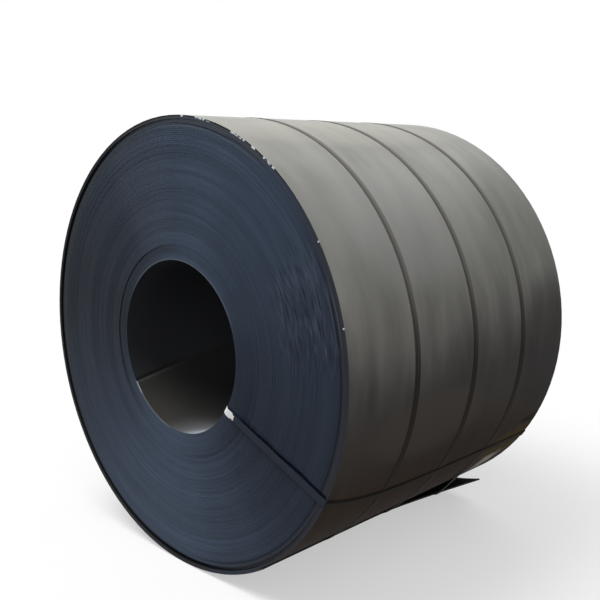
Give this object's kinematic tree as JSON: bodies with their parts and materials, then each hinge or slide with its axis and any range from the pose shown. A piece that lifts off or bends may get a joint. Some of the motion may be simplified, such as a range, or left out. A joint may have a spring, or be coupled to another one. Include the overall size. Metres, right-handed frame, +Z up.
{
  "type": "steel coil",
  "caption": "Wide coil of hot-rolled steel strip lying on its side, with a round bore, three steel straps round it and one through the bore.",
  "frame": {"origin": "bottom centre of the bounding box, on the floor under the middle of the coil", "axes": "+Y along the coil's axis from its front end to its back end, +Z up"},
  "size_m": [1.9594, 1.5578, 1.9634],
  "materials": {
    "scaled_steel": "blue-grey mill scale, semi-matt, with brighter worn edges on the ends",
    "strap_steel": "dark oxidised strapping, satin",
    "seal_steel": "dull crimped steel"
  },
  "bodies": {
    "root": {"coil": "scaled_steel", "body_strap_1": "strap_steel", "body_strap_2": "strap_steel", "body_strap_3": "strap_steel", "body_strap_seal_1": "seal_steel", "body_strap_seal_2": "seal_steel", "body_strap_seal_3": "seal_steel", "eye_strap": "strap_steel", "eye_strap_seal": "seal_steel"}
  },
  "joints": []
}
